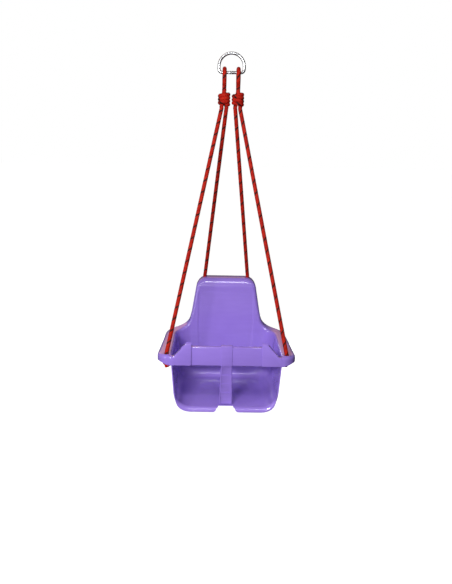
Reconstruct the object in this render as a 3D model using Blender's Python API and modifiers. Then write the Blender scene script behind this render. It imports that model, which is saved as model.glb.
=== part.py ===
# Toddler bucket swing: a moulded seat with a lift-out front guard, hung by two ropes from a D ring.
# Metres, +Z up, +Y from the front of the seat to its back, origin where a hook carries the ring.
# Seat sizes are given in the seat's own frame: y = 0 on the front face, z = 0 on top of the rim.

from math import atan2, cos, pi, sin, tan

import bmesh
import bpy
from mathutils import Vector

# Hanging ring
RING_WIRE = 0.008            # wire diameter
RING_BAR = 0.050             # straight stretch of the lower bar
RING_CORNER = 0.009          # centreline radius where the bar turns up
RING_LEG_TOP = 0.016         # height above the bar where the bow starts
RING_BOW = RING_BAR / 2 + RING_CORNER
RING_DROP = RING_LEG_TOP + RING_BOW - RING_WIRE / 2   # hook to bar axis

# How the seat hangs: the bar's axis in the seat's frame
BAR_ABOVE_RIM = 0.747
BAR_BEHIND_FACE = 0.1634

# Seat shell
WALL = 0.003
TUB_HALF = 0.1492            # inside half width at the rim
TUB_BACK = 0.282             # inside face of the back wall at the rim
TUB_FRONT = 0.016            # where the side walls meet the front nose
TUB_CORNER = 0.045           # inside corner radius, seen from above
DRAFT = 0.085                # walls close in by this much for each metre down
PAN = -0.147                 # top of the seat pan
PAN_FILLET_BACK = 0.014
PAN_FILLET_SIDE = 0.040
NOSE_REACH = 0.011
NOSE_DROP = 0.013
BACK_TOP = 0.157             # top of the backrest above the rim
BACK_TOP_HALF = 0.087        # half width there, before rounding
BACK_FOOT_HALF = 0.113       # half width at rim level, before rounding
BACK_TOP_RADIUS = 0.033
SHOULDER_RADIUS = 0.040
RIM_FRONT_HALF = 0.189       # outside half width of the rim at the front
RIM_BACK_HALF = 0.179
RIM_CORNER = 0.042           # outside corner radius at the front
SKIRT = 0.027                # drop of the rim's skirt
EDGE_ROUND = 0.004
CREST = 0.007                # turn from the wall into the rim's flange
CREST_BACK = 0.007           # added to it up the backrest
CREST_TOP_RISE = 0.022       # and again over the backrest's top
CREST_TOP_DEPTH = 0.010
BACK_FLANGE = 0.0355         # width of the flange behind the backrest
TOP_FLANGE = 0.050
BACK_LIP = 0.009             # drop of the flange's edge behind the backrest
FRONT_TURN = 0.026           # the rim's front corner starts this far behind the face
FAN_END = 0.085              # its strips fan out from here
ROPE_HOLE = 0.0135
SMALL_EDGE = 0.0012          # bevel on thin moulded edges

# Front stubs and guard
STUB_INNER = 0.095
STUB_TOP = 0.035
STUB_TOP_OUTER = 0.110
STUB_FOOT_OUTER = 0.142
STUB_DEPTH = 0.0183
STUB_END = 0.1495
BAR_TOP = 0.026
BAR_RECESS = 0.003
BAR_DEPTH = 0.012
TONGUE = 0.018               # length of the bar's end inside a stub
GUARD_WALL = 0.0028
STRAP_HALF = 0.0158
STRAP_PROUD = 0.0012
STRAP_RISE = 0.0035
POST_TOP_HALF = 0.0150
POST_FOOT_HALF = 0.0187
POST_LEAN = 0.194            # set-back for each metre down
NOTCH_TOP_HALF = 0.0165
NOTCH_FOOT_HALF = 0.0280
NOTCH_DEPTH = 0.027
SLOT_FRONT = 0.0310          # slot in the pan for the guard's foot
SLOT_BACK = 0.0356
FOOT_INSET = 0.005           # the foot is this much narrower than the post, each side
FOOT_DROP = 0.0028           # and reaches this far into the slot
SOCKET_STEP = 0.004          # how far a socket opens past its stub's inner end
GAP = 0.0003                 # clearance between pieces that touch

# Ropes
ROPE = 0.011
EYE_RADIUS = 0.022
EYE_X = 0.01875              # where each eye sits on the bar
EYE_LEG = 0.006              # half the spacing of the eye's legs at the knot
KNOT_TOP = -0.052            # top of the eye knot below the bar
KNOT_LENGTH = 0.036
KNOT_RADIUS = 0.017
FRONT_HOLE = (0.163, 0.021)
REAR_HOLE = (0.066, 0.331)
REAR_SEAT = BACK_TOP - 0.0085     # the flange is this high where a rear knot bears on it
FRONT_LIFT = 0.006               # each rope rises straight this far through its hole
REAR_LIFT = 0.0125

PIVOT = Vector((0, 0, -RING_DROP))


def seat(x, y, z):
    """A point of the seat's frame, measured from the bar's axis."""
    return Vector((x, y - BAR_BEHIND_FACE, z - BAR_ABOVE_RIM))


def lerp(a, b, t):
    return a + (b - a) * t


def ease(lo, hi, value):
    t = min(max((value - lo) / (hi - lo), 0.0), 1.0)
    return t * t * (3 - 2 * t)


# ---------------------------------------------------------------- scene

for old in list(bpy.data.objects):
    bpy.data.objects.remove(old, do_unlink=True)

parts = bpy.data.collections.new("toddler_bucket_swing")
cutters = bpy.data.collections.new("cutters")
bpy.context.scene.collection.children.link(parts)
bpy.context.scene.collection.children.link(cutters)


def material(name, color, roughness, metallic=0.0):
    mat = bpy.data.materials.new(name)
    mat.use_nodes = True
    shader = mat.node_tree.nodes["Principled BSDF"]
    shader.inputs["Base Color"].default_value = (*color, 1)
    shader.inputs["Roughness"].default_value = roughness
    shader.inputs["Metallic"].default_value = metallic
    return mat


SHELL_PLASTIC = material("shell_plastic", (0.25, 0.15, 0.66), 0.3)
GUARD_PLASTIC = material("guard_plastic", (0.26, 0.16, 0.68), 0.3)
ROPE_CORD = material("rope_cord", (0.70, 0.04, 0.02), 0.75)
KNOT_CORD = material("knot_cord", (0.60, 0.035, 0.02), 0.8)
RING_STEEL = material("ring_steel", (0.62, 0.62, 0.64), 0.3, 1.0)


def pivot_empty(name, location, parent=None):
    empty = bpy.data.objects.new(name, None)
    empty.empty_display_size = 0.03
    empty.location = location
    empty.parent = parent
    parts.objects.link(empty)
    return empty


swing_pivot = pivot_empty("swing_pivot", PIVOT)
guard_slide = pivot_empty("guard_slide", seat(0, BAR_RECESS, 0), swing_pivot)


def add_piece(name, mesh, mat, parent=None):
    piece = bpy.data.objects.new(name, mesh)
    piece.parent = parent
    mesh.materials.clear()
    mesh.materials.append(mat)
    parts.objects.link(piece)
    return piece


def add_cutter(name, mesh, parent=None):
    cutter = bpy.data.objects.new(name, mesh)
    cutter.parent = parent
    cutter.hide_render = True
    cutter.display_type = "WIRE"
    cutters.objects.link(cutter)
    return cutter


def boolean(piece, cutter, operation):
    mod = piece.modifiers.new(cutter.name, "BOOLEAN")
    mod.operation = operation
    mod.object = cutter
    mod.solver = "EXACT"
    return mod


def bevel(piece, width, segments=2):
    mod = piece.modifiers.new("bevel", "BEVEL")
    mod.width = width
    mod.segments = segments
    mod.limit_method = "ANGLE"
    return mod


def curve_mesh(curve):
    """The evaluated mesh of a curve, with its caps welded."""
    holder = bpy.data.objects.new("holder", curve)
    bpy.context.scene.collection.objects.link(holder)
    graph = bpy.context.evaluated_depsgraph_get()
    mesh = bpy.data.meshes.new_from_object(holder.evaluated_get(graph))
    bpy.data.objects.remove(holder, do_unlink=True)
    bpy.data.curves.remove(curve)
    bm = bmesh.new()
    bm.from_mesh(mesh)
    bmesh.ops.remove_doubles(bm, verts=bm.verts, dist=1e-6)
    bmesh.ops.dissolve_limit(bm, angle_limit=0.002, verts=bm.verts, edges=bm.edges)
    bm.to_mesh(mesh)
    bm.free()
    return mesh


def plate(name, outline, y_front, y_back):
    """A flat outline in x and z, filled from y_front to y_back (seat frame)."""
    curve = bpy.data.curves.new(name, "CURVE")
    curve.dimensions = "2D"
    curve.fill_mode = "BOTH"
    curve.extrude = (y_back - y_front) / 2
    spline = curve.splines.new("POLY")
    spline.points.add(len(outline) - 1)
    for point, (x, z) in zip(spline.points, outline):
        point.co = (x, z, 0, 1)
    spline.use_cyclic_u = True
    mesh = curve_mesh(curve)
    middle = (y_front + y_back) / 2
    for vert in mesh.vertices:
        x, z, offset = vert.co
        vert.co = seat(x, middle - offset, z)
    return mesh


def block(name, low, high):
    """A box between two corners of the seat's frame."""
    bm = bmesh.new()
    bmesh.ops.create_cube(bm, size=1)
    centre = [(a + b) / 2 for a, b in zip(low, high)]
    size = [b - a for a, b in zip(low, high)]
    for vert in bm.verts:
        vert.co = seat(*(c + s * v for c, s, v in zip(centre, size, vert.co)))
    mesh = bpy.data.meshes.new(name)
    bm.to_mesh(mesh)
    bm.free()
    return mesh


def join_meshes(name, meshes):
    bm = bmesh.new()
    for mesh in meshes:
        bm.from_mesh(mesh)
        bpy.data.meshes.remove(mesh)
    joined = bpy.data.meshes.new(name)
    bm.to_mesh(joined)
    bm.free()
    return joined


def shear_back(mesh, below):
    """Leans a mesh back by POST_LEAN below the given seat height."""
    top = below - BAR_ABOVE_RIM
    for vert in mesh.vertices:
        vert.co.y += max(top - vert.co.z, 0) * POST_LEAN


def rounded_path(corners, steps):
    """Points and tangents along a line of corners (u, z, radius); round corners get arcs."""
    path = []

    def add_run(start, end, count):
        direction = (end - start).normalized()
        for i in range(count):
            path.append((start.lerp(end, i / count), direction))

    points = [Vector(c[:2]) for c in corners]
    start = points[0]
    for i in range(1, len(points) - 1):
        before = (points[i] - points[i - 1]).normalized()
        after = (points[i + 1] - points[i]).normalized()
        turn = atan2(before.cross(after), before.dot(after))
        radius = corners[i][2]
        reach = radius * tan(abs(turn) / 2)
        arc_start = points[i] - before * reach
        add_run(start, arc_start, steps[i - 1][0])
        side = Vector((-before.y, before.x)) * (1 if turn > 0 else -1)
        centre = arc_start + side * radius
        count = steps[i - 1][1]
        for k in range(count):
            angle = turn * k / count
            spoke = (arc_start - centre)
            spoke = Vector((spoke.x * cos(angle) - spoke.y * sin(angle),
                            spoke.x * sin(angle) + spoke.y * cos(angle)))
            heading = Vector((before.x * cos(angle) - before.y * sin(angle),
                              before.x * sin(angle) + before.y * cos(angle)))
            path.append((centre + spoke, heading))
        start = points[i] + after * reach
    add_run(start, points[-1], steps[-1][0])
    path.append((points[-1], (points[-1] - start).normalized()))
    return path


# ---------------------------------------------------------------- seat shell
# The wall is a sheet bent round the seat. u runs along it from the middle of the back,
# round the corner and along the side, and z is the height.

BACK_FLAT = TUB_HALF - TUB_CORNER
CORNER_END = BACK_FLAT + TUB_CORNER * pi / 2
SIDE_LENGTH = TUB_BACK - TUB_CORNER - TUB_FRONT
SHEET_END = CORNER_END + SIDE_LENGTH


def wall_frame(u, z):
    """Inside face of the wall at (u, z), and the direction out of the seat there."""
    centre_x = BACK_FLAT + DRAFT * min(z, 0)
    centre_y = TUB_BACK - TUB_CORNER + DRAFT * z
    if u < BACK_FLAT:
        x = u * centre_x / BACK_FLAT
        return Vector((x, centre_y + TUB_CORNER, z)), Vector((0, 1, 0))
    if u < CORNER_END:
        angle = (u - BACK_FLAT) / TUB_CORNER
        out = Vector((sin(angle), cos(angle), 0))
        return Vector((centre_x, centre_y, z)) + out * TUB_CORNER, out
    along = (u - CORNER_END) / SIDE_LENGTH
    return Vector((centre_x + TUB_CORNER, lerp(centre_y, TUB_FRONT, along), z)), Vector((1, 0, 0))


def pan_fillet(u):
    return lerp(PAN_FILLET_BACK, PAN_FILLET_SIDE, ease(BACK_FLAT - 0.03, CORNER_END, u))


def rim_half(y):
    return lerp(RIM_FRONT_HALF, RIM_BACK_HALF, (y - RIM_CORNER) / (TUB_BACK - RIM_CORNER))


def flange(u, point, z_edge, front_turn):
    """Direction and width of the flange that leaves the wall's top edge."""
    _, out = wall_frame(u, 0)
    if front_turn is not None:
        angle = front_turn * pi / 2
        centre_x = rim_half(RIM_CORNER) - RIM_CORNER
        end = Vector((centre_x + RIM_CORNER * cos(angle), RIM_CORNER * (1 - sin(angle)), 0))
        reach = end - Vector((point.x, point.y, 0))
        return reach.normalized(), reach.length
    if u >= CORNER_END:
        if point.y >= FAN_END:
            return out, rim_half(point.y) - point.x
        along = (point.y - FRONT_TURN) / (FAN_END - FRONT_TURN)
        end_y = point.y + (RIM_CORNER - FRONT_TURN) * (1 - along) ** 2
        reach = Vector((rim_half(end_y), end_y, 0)) - Vector((point.x, point.y, 0))
        return reach.normalized(), reach.length
    side = rim_half(TUB_BACK - TUB_CORNER) - TUB_HALF
    if u > BACK_FLAT:
        angle = (u - BACK_FLAT) / TUB_CORNER
        squareness = 6
        width = side / (cos(angle) ** squareness + sin(angle) ** squareness) ** (1 / squareness)
        return out, width
    low = lerp(side, BACK_FLANGE, ease(0, 0.05, z_edge))
    return out, lerp(low, TOP_FLANGE, ease(0.120, 0.156, z_edge))


def shell_column(edge, heading, foot_u, front_turn=None):
    """One strip of the shell's visible face, from the pan up the wall and over the rim."""
    u, z = edge
    up = Vector((-heading.y, heading.x))
    fillet = pan_fillet(foot_u)
    column = []
    for k in range(5):
        angle = pi / 2 * (1 - k / 4)
        point, out = wall_frame(foot_u, PAN + fillet * (1 - sin(angle)))
        column.append(point - out * fillet * (1 - cos(angle)))
    crest_round = CREST + CREST_BACK * ease(0.03, 0.07, z)
    near_top = ease(0.118, 0.155, z)
    rise = crest_round + CREST_TOP_RISE * near_top
    depth = crest_round + CREST_TOP_DEPTH * near_top
    start = Vector((foot_u, PAN + fillet))
    end = edge - up * rise
    for k in (1, 2):
        sheet = start.lerp(end, k / 3)
        column.append(wall_frame(*sheet)[0])
    lip = SKIRT
    if front_turn is None and u < CORNER_END + 0.02:
        lip = lerp(BACK_LIP, SKIRT, ease(BACK_FLAT + 0.01, CORNER_END + 0.02, u))
    crest = wall_frame(u, z)[0]
    out, width = flange(u, crest, z, front_turn)

    def surface(back, outward):
        point = wall_frame(u - up.x * back, z - up.y * back)[0]
        return point + out * outward

    for k in range(5):
        angle = pi / 2 * k / 4
        column.append(surface(rise * (1 - sin(angle)), depth * (1 - cos(angle))))
    for k in range(3):
        angle = pi / 2 * k / 2
        column.append(surface(EDGE_ROUND * (1 - cos(angle)), width - EDGE_ROUND * (1 - sin(angle))))
    column.append(surface(lip, width))
    return column


def shell_half_mesh():
    """Half of the shell's visible face (x >= 0), open on the middle plane."""
    corners = [(0, BACK_TOP, 0), (BACK_TOP_HALF, BACK_TOP, BACK_TOP_RADIUS),
               (BACK_FOOT_HALF, 0, SHOULDER_RADIUS), (CORNER_END, 0, 0)]
    edge_path = rounded_path(corners, [(3, 6), (4, 7), (3, 0)])
    # the strips' feet are spread evenly up to where the shoulder meets the rim
    lengths = [0.0]
    for (a, _), (b, _) in zip(edge_path, edge_path[1:]):
        lengths.append(lengths[-1] + (b - a).length)
    last_round = len(edge_path) - 4
    foot_end = edge_path[last_round][0].x
    columns = []
    for i, (edge, heading) in enumerate(edge_path):
        foot = edge.x if i >= last_round else foot_end * lengths[i] / lengths[last_round]
        columns.append(shell_column(edge, heading, foot))
    forward = Vector((1, 0))
    side_start = TUB_BACK - TUB_CORNER
    side_steps = 7
    for i in range(1, side_steps + 1):
        u = CORNER_END + (side_start - FRONT_TURN) * i / side_steps
        columns.append(shell_column(Vector((u, 0)), forward, u))
    turn_steps = 6
    for i in range(1, turn_steps + 1):
        u = CORNER_END + side_start - lerp(FRONT_TURN, TUB_FRONT, i / turn_steps)
        columns.append(shell_column(Vector((u, 0)), forward, u, i / turn_steps))

    bm = bmesh.new()
    grid = [[bm.verts.new(seat(*p)) for p in column] for column in columns]
    for left, right in zip(grid, grid[1:]):
        for k in range(len(left) - 1):
            bm.faces.new((left[k], left[k + 1], right[k + 1], right[k]))

    # pan: one flat face inside the fillets
    front_x = columns[-1][0].x
    front_row = [bm.verts.new(seat(front_x * (1 - k / 4), TUB_FRONT, PAN)) for k in range(1, 5)]
    pan = bm.faces.new([column[0] for column in grid] + front_row)

    # nose: the front edge of the pan and walls, rolled down and outwards
    section = front_row[::-1] + grid[-1][:8]
    rows = [section]
    for k in range(1, 5):
        angle = pi / 2 * k / 4
        row = []
        for i, vert in enumerate(section):
            before = section[max(i - 1, 0)].co
            after = section[min(i + 1, len(section) - 1)].co
            run = (after - before).normalized()
            down = ease(0.25, 0.95, run.x) * NOSE_DROP * (1 - cos(angle))
            outward = Vector((-run.z, 0, run.x)) * -down
            row.append(bm.verts.new(vert.co + outward - Vector((0, NOSE_REACH * sin(angle), 0))))
        rows.append(row)
    for near, far in zip(rows, rows[1:]):
        for k in range(len(near) - 1):
            bm.faces.new((near[k], near[k + 1], far[k + 1], far[k]))
    bmesh.ops.recalc_face_normals(bm, faces=bm.faces)
    if pan.normal.z < 0:
        bmesh.ops.reverse_faces(bm, faces=bm.faces)
    mesh = bpy.data.meshes.new("seat_shell")
    bm.to_mesh(mesh)
    bm.free()
    return mesh


def stub_outline(inner, inset):
    """Front view of a corner stub: flat top, then a straight gusset down to the rim."""
    rim = -WALL / 2
    return [(inner, -SKIRT + 0.0001), (STUB_END - inset, -SKIRT + 0.0001),
            (STUB_END - inset, rim - inset), (STUB_FOOT_OUTER - inset * 0.5, rim - inset),
            (STUB_TOP_OUTER - inset * 0.4, STUB_TOP - inset), (inner, STUB_TOP - inset)]


def mirrored(outline):
    return [(-x, z) for x, z in reversed(outline)]


def rope_hole_mesh(name, x, y, z):
    bm = bmesh.new()
    bmesh.ops.create_cone(bm, cap_ends=True, segments=20, radius1=ROPE_HOLE / 2,
                          radius2=ROPE_HOLE / 2, depth=0.020)
    for vert in bm.verts:
        vert.co += seat(x, y, z)
    mesh = bpy.data.meshes.new(name)
    bm.to_mesh(mesh)
    bm.free()
    return mesh


def add_stubs(shell):
    outline = stub_outline(STUB_INNER, 0)
    for side, shape in (("right", outline), ("left", mirrored(outline))):
        body = add_cutter("stub_" + side, plate("stub", shape, 0, STUB_DEPTH), swing_pivot)
        bevel(body, SMALL_EDGE)
        boolean(shell, body, "UNION")


def hollow_stubs(shell):
    """Sockets for the guard's ends, open at the top and towards the middle, and a core beyond each."""
    socket_end = STUB_INNER + TONGUE + 2 * GAP
    wall_end = socket_end + WALL
    floor = -SKIRT - 0.01
    _, _, low_outer, foot_outer, top_outer, _ = stub_outline(wall_end, WALL)
    near_top = top_outer[1] - (top_outer[1] - foot_outer[1]) * 0.1
    core = [(wall_end, floor), (low_outer[0], floor), low_outer, foot_outer,
            (wall_end + SMALL_EDGE, near_top), (wall_end, near_top)]
    hollows = []
    for sign, outline in ((1, core), (-1, mirrored(core))):
        low_x, high_x = sorted((sign * (STUB_INNER - SOCKET_STEP), sign * socket_end))
        hollows.append(block("socket", (low_x, BAR_RECESS - GAP, WALL - SKIRT),
                             (high_x, BAR_RECESS + BAR_DEPTH + GAP, STUB_TOP + 0.01)))
        hollows.append(plate("core", outline, WALL, STUB_DEPTH - WALL))
    boolean(shell, add_cutter("stub_hollows", join_meshes("stub_hollows", hollows), swing_pivot),
            "DIFFERENCE")


def notch_outline():
    """The notch under the guard's foot, flaring downwards through the nose."""
    half = [(NOTCH_FOOT_HALF + 0.002, PAN - 0.020), (NOTCH_FOOT_HALF - 0.003, PAN - 0.011),
            (NOTCH_TOP_HALF + 0.002, PAN - 0.001), (NOTCH_TOP_HALF, PAN + 0.008)]
    return half + mirrored(half)


def cut_holes(shell):
    holes = [plate("notch", notch_outline(), -0.005, NOTCH_DEPTH)]
    for sign in (1, -1):
        holes.append(rope_hole_mesh("hole", sign * FRONT_HOLE[0], FRONT_HOLE[1], 0))
        holes.append(rope_hole_mesh("hole", sign * REAR_HOLE[0], REAR_HOLE[1], BACK_TOP))
    slot_half = POST_FOOT_HALF - FOOT_INSET + GAP
    holes.append(block("foot_slot", (-slot_half, SLOT_FRONT, PAN - 0.01),
                       (slot_half, SLOT_BACK, PAN + 0.01)))
    boolean(shell, add_cutter("shell_holes", join_meshes("shell_holes", holes), swing_pivot),
            "DIFFERENCE")


def make_shell():
    shell = add_piece("seat_shell", shell_half_mesh(), SHELL_PLASTIC, swing_pivot)
    mirror = shell.modifiers.new("mirror", "MIRROR")
    mirror.merge_threshold = 0.0001
    thick = shell.modifiers.new("thickness", "SOLIDIFY")
    thick.thickness = WALL
    thick.offset = -1
    thick.use_even_offset = True
    add_stubs(shell)
    hollow_stubs(shell)
    cut_holes(shell)


# ---------------------------------------------------------------- front guard

def to_guard(mesh):
    """Moves a mesh from the pivot's frame to the guard's own."""
    for vert in mesh.vertices:
        vert.co -= seat(0, BAR_RECESS, 0)
    return mesh


BAR_HALF = STUB_INNER - 2 * GAP
BAR_BACK = BAR_RECESS + BAR_DEPTH
POST_FRONT = BAR_RECESS + 0.0016
POST_BACK = BAR_BACK + 0.0004
POST_FOOT = PAN + GAP
RIB = 0.0022


def guard_bar():
    outline = [(-BAR_HALF, -SKIRT), (BAR_HALF, -SKIRT), (BAR_HALF, BAR_TOP), (-BAR_HALF, BAR_TOP)]
    return plate("front_guard", outline, BAR_RECESS, BAR_BACK)


def guard_tongues():
    """The bar's ends, which drop into the sockets; they start inside the bar."""
    inset = 0.0001
    low = WALL - SKIRT + GAP
    tongues = []
    for sign in (1, -1):
        low_x, high_x = sorted((sign * (BAR_HALF - 0.003), sign * (STUB_INNER + TONGUE)))
        tongues.append(block("tongue", (low_x, BAR_RECESS + inset, low),
                             (high_x, BAR_BACK - inset, BAR_TOP - inset)))
    return join_meshes("guard_tongues", tongues)


def guard_strap():
    """The raised band over the bar's middle."""
    low = -SKIRT + 0.002
    outline = [(-STRAP_HALF, low), (STRAP_HALF, low),
               (STRAP_HALF, BAR_TOP + STRAP_RISE), (-STRAP_HALF, BAR_TOP + STRAP_RISE)]
    return plate("strap", outline, BAR_RECESS - STRAP_PROUD, BAR_BACK - 0.0004)


def guard_post():
    top = -SKIRT + 0.006
    outline = [(-POST_FOOT_HALF, POST_FOOT), (POST_FOOT_HALF, POST_FOOT),
               (POST_TOP_HALF, top), (-POST_TOP_HALF, top)]
    mesh = plate("post", outline, POST_FRONT, POST_BACK)
    shear_back(mesh, -SKIRT)
    return mesh


def guard_foot():
    """The tab under the post that drops through the slot in the pan."""
    half = POST_FOOT_HALF - FOOT_INSET
    play = 0.0004
    return block("foot_tab", (-half, SLOT_FRONT + play, PAN - FOOT_DROP),
                 (half, SLOT_BACK - play, PAN + 0.006))


def bar_cells():
    """Hollows in the back of the bar, with a cross rib left between each two."""
    count = 6
    half = BAR_HALF - GUARD_WALL
    pitch = (2 * half + RIB) / count
    cells = []
    for i in range(count):
        low = -half + i * pitch
        cells.append(block("cell", (low, BAR_RECESS + GUARD_WALL, -SKIRT + GUARD_WALL),
                           (low + pitch - RIB, BAR_BACK + 0.01, BAR_TOP - GUARD_WALL)))
    return cells


def post_cells():
    """Hollows in the back of the post, down to a solid foot."""
    count = 4
    solid_foot = 0.010
    top = -SKIRT - RIB
    height = (top - POST_FOOT - solid_foot) / count
    cells = []
    for i in range(count):
        high = top - i * height
        low = high - height + RIB
        low_half, high_half = (lerp(POST_FOOT_HALF, POST_TOP_HALF, (z - POST_FOOT) / (-SKIRT - POST_FOOT))
                               - GUARD_WALL for z in (low, high))
        outline = [(-low_half, low), (low_half, low), (high_half, high), (-high_half, high)]
        cell = plate("cell", outline, POST_FRONT + GUARD_WALL, BAR_BACK + 0.01)
        shear_back(cell, -SKIRT)
        cells.append(cell)
    return cells


def make_guard():
    guard = add_piece("front_guard", to_guard(guard_bar()), GUARD_PLASTIC, guard_slide)
    bevel(guard, SMALL_EDGE)
    for name, mesh, edge in (("guard_tongues", guard_tongues(), 0),
                             ("guard_strap", guard_strap(), SMALL_EDGE),
                             ("guard_post", guard_post(), SMALL_EDGE),
                             ("guard_foot", guard_foot(), 0)):
        part = add_cutter(name, to_guard(mesh), guard_slide)
        if edge:
            bevel(part, edge)
        boolean(guard, part, "UNION")
    cells = to_guard(join_meshes("guard_cells", bar_cells() + post_cells()))
    boolean(guard, add_cutter("guard_cells", cells, guard_slide), "DIFFERENCE")


# ---------------------------------------------------------------- ring and ropes

def tube(name, points, diameter, mat, parent=None, cyclic=False, resolution=2):
    curve = bpy.data.curves.new(name, "CURVE")
    curve.dimensions = "3D"
    curve.bevel_depth = diameter / 2
    curve.bevel_resolution = resolution
    curve.use_fill_caps = True
    spline = curve.splines.new("POLY")
    spline.points.add(len(points) - 1)
    for point, co in zip(spline.points, points):
        point.co = (*co, 1)
    spline.use_cyclic_u = cyclic
    piece = bpy.data.objects.new(name, curve)
    piece.parent = parent
    curve.materials.append(mat)
    parts.objects.link(piece)
    return piece


def ring_points():
    """Centreline of the D: bar, corner, leg and bow, from the middle of the bar round to it."""
    half = []
    for k in range(7):
        angle = pi / 2 * k / 6
        half.append((RING_BAR / 2 + RING_CORNER * sin(angle), RING_CORNER * (1 - cos(angle))))
    for k in range(11):
        angle = pi / 2 * k / 10
        half.append((RING_BOW * cos(angle), RING_LEG_TOP + RING_BOW * sin(angle)))
    other = [(-x, z) for x, z in reversed(half[:-1])]
    return [PIVOT + Vector((x, 0, z)) for x, z in half + other]


def smooth_route(route, spacing):
    """Evenly spaced points on a Catmull-Rom curve through the route's own points."""
    ends = [route[0] * 2 - route[1]] + route + [route[-1] * 2 - route[-2]]
    fine = []
    for i in range(1, len(ends) - 2):
        a, b, c, d = ends[i - 1:i + 3]
        for k in range(24):
            t = k / 24
            fine.append(0.5 * (2 * b + (c - a) * t + (2 * a - 5 * b + 4 * c - d) * t * t
                               + (3 * b - a - 3 * c + d) * t * t * t))
    fine.append(route[-1])
    total = sum((q - p).length for p, q in zip(fine, fine[1:]))
    count = max(round(total / spacing), 2)
    points = [fine[0]]
    walked = 0.0
    for p, q in zip(fine, fine[1:]):
        step = (q - p).length
        while len(points) < count and walked + step >= total * len(points) / count:
            points.append(p.lerp(q, (total * len(points) / count - walked) / step))
        walked += step
    points.append(fine[-1])
    return points


def rope_points(side, hole, hole_z, lift, knot_x, knot_y):
    """From just under the flange, up through its hole and straight to the eye knot."""
    low = seat(side * hole[0], hole[1], hole_z - WALL - GAP / 2)
    knot = Vector((side * knot_x, knot_y, KNOT_TOP - KNOT_LENGTH - GAP))
    first = low + Vector((0, 0, lift))
    last = knot - Vector((0, 0, 0.006))
    run = last - first
    route = [first] + [first + run * t for t in (0.04, 0.25, 0.5, 0.75, 0.96)] + [last]
    return [low] + smooth_route(route, 3 * ROPE) + [knot]


def eye_route(x):
    """A teardrop loop over the bar, in the plane across it, both ends on the knot's top."""
    crest = RING_WIRE / 2 + GAP + ROPE / 2
    centre_z = crest - EYE_RADIUS
    end = KNOT_TOP + GAP
    base = end + 0.003       # the legs leave the knot square to it
    flare = atan2(EYE_RADIUS - EYE_LEG, centre_z - base) * 2
    bend = (centre_z - base) / (2 * sin(flare))
    leg = [(EYE_LEG, end)]
    for k in range(5):
        angle = flare * k / 4
        leg.append((EYE_LEG + bend * (1 - cos(angle)), base + bend * sin(angle)))
    for k in range(3, 0, -1):
        angle = flare * k / 4
        leg.append((EYE_RADIUS - bend * (1 - cos(angle)), centre_z - bend * sin(angle)))
    bow = [(EYE_RADIUS * cos(pi * k / 12), centre_z + EYE_RADIUS * sin(pi * k / 12)) for k in range(13)]
    back = [(-y, z) for y, z in reversed(leg)]
    return [Vector((x, y, z)) for y, z in leg + bow + back]


def turned(name, profile, centre, mat, steps=14):
    """A turned solid: profile of (radius, height) pairs from top to bottom."""
    mesh = bpy.data.meshes.new(name)
    bm = bmesh.new()
    verts = [bm.verts.new((radius, 0, height)) for radius, height in profile]
    for a, b in zip(verts, verts[1:]):
        bm.edges.new((a, b))
    bm.to_mesh(mesh)
    bm.free()
    piece = add_piece(name, mesh, mat, swing_pivot)
    piece.location = centre
    screw = piece.modifiers.new("turn", "SCREW")
    screw.steps = steps
    screw.render_steps = steps
    screw.use_merge_vertices = True
    screw.merge_threshold = 0.00005
    return piece


def bulge_profile(radius, length, tail_radius=0.0, tail=0.0):
    """A rounded barrel from z = 0 down, ending flat or in a short straight tail."""
    edge = min(radius * 0.45, length * 0.3)
    profile = [(0, 0), (radius - edge, 0)]
    for k in range(1, 4):
        angle = pi / 2 * k / 3
        profile.append((radius - edge + edge * sin(angle), -edge * (1 - cos(angle))))
    for k in range(4):
        angle = pi / 2 * k / 3
        profile.append((radius - edge + edge * cos(angle), -length + edge * (1 - sin(angle))))
    if tail:
        profile.append((tail_radius, -length))
        profile.append((tail_radius, -length - tail + 0.002))
        profile.append((tail_radius - 0.002, -length - tail))
        profile.append((0, -length - tail))
    else:
        profile.append((0, -length))
    return profile


def make_ropes():
    tails = {"front_left": 0.014, "front_right": 0.006, "rear_left": 0.012, "rear_right": 0.012}
    for side, name in ((-1, "left"), (1, "right")):
        front = rope_points(side, FRONT_HOLE, 0, FRONT_LIFT, EYE_X + 0.0065, -0.003)
        rear = rope_points(side, REAR_HOLE, REAR_SEAT, REAR_LIFT, EYE_X - 0.0065, 0.003)
        tube("rope_front_" + name, front, ROPE, ROPE_CORD, swing_pivot)
        tube("rope_rear_" + name, rear, ROPE, ROPE_CORD, swing_pivot)
        tube("eye_" + name, eye_route(side * EYE_X), ROPE, ROPE_CORD, swing_pivot)
        turned("eye_knot_" + name, bulge_profile(KNOT_RADIUS, KNOT_LENGTH),
               Vector((side * EYE_X, 0, KNOT_TOP)), KNOT_CORD)
        for place, hole, top in (("front", FRONT_HOLE, 0), ("rear", REAR_HOLE, REAR_SEAT)):
            key = place + "_" + name
            profile = bulge_profile(0.0098, 0.020, ROPE / 2, tails[key])
            turned("stopper_knot_" + key, profile,
                   seat(side * hole[0], hole[1], top - WALL - 2 * GAP), KNOT_CORD)


make_shell()
make_guard()
tube("hanging_ring", ring_points(), RING_WIRE, RING_STEEL, cyclic=True, resolution=3)
make_ropes()
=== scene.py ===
from math import atan2, cos, pi, radians, sin, tan

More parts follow.
